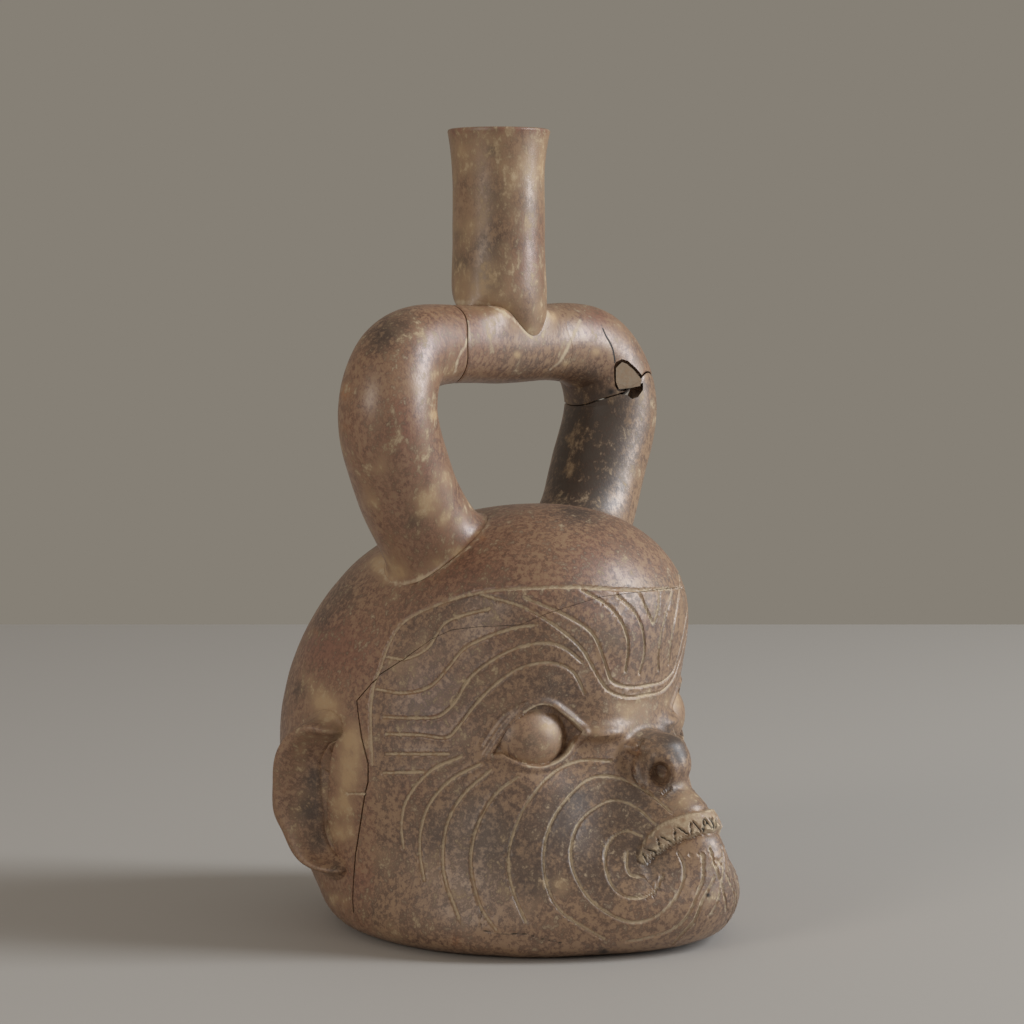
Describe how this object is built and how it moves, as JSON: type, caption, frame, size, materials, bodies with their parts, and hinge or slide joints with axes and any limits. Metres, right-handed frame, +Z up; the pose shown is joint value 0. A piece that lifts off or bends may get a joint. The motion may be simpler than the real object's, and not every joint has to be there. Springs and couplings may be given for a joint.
{
  "type": "stirrup spout vessel",
  "caption": "Hollow fired clay vessel shaped as a monkey's head, with a flat base and an arched tubular stirrup on the crown that carries a flared pouring spout.",
  "frame": {"origin": "on the table under the spout's axis, in the middle of the flat base", "axes": "+Z up along the spout, -Y the way the face looks, +X the monkey's left"},
  "size_m": [0.1322, 0.1447, 0.2235],
  "materials": {
    "brown_clay": "burnished unglazed brown clay, satin, with pale buff in the incised lines",
    "red_slip_clay": "burnished red-brown slip, worn to buff",
    "sooty_clay": "burnished clay darkened by fire clouds",
    "filler": "matt grey filler of an old repair"
  },
  "bodies": {
    "root": {"base_floor": "brown_clay", "face_shell": "brown_clay", "rear_shell": "red_slip_clay", "crown_shell": "red_slip_clay", "right_ear": "brown_clay", "left_ear": "brown_clay", "right_eye": "brown_clay", "left_eye": "brown_clay", "nose": "sooty_clay", "right_arm": "red_slip_clay", "stirrup_bar": "brown_clay", "left_elbow": "brown_clay", "left_leg": "sooty_clay", "elbow_fill": "filler", "spout": "brown_clay"}
  },
  "joints": []
}
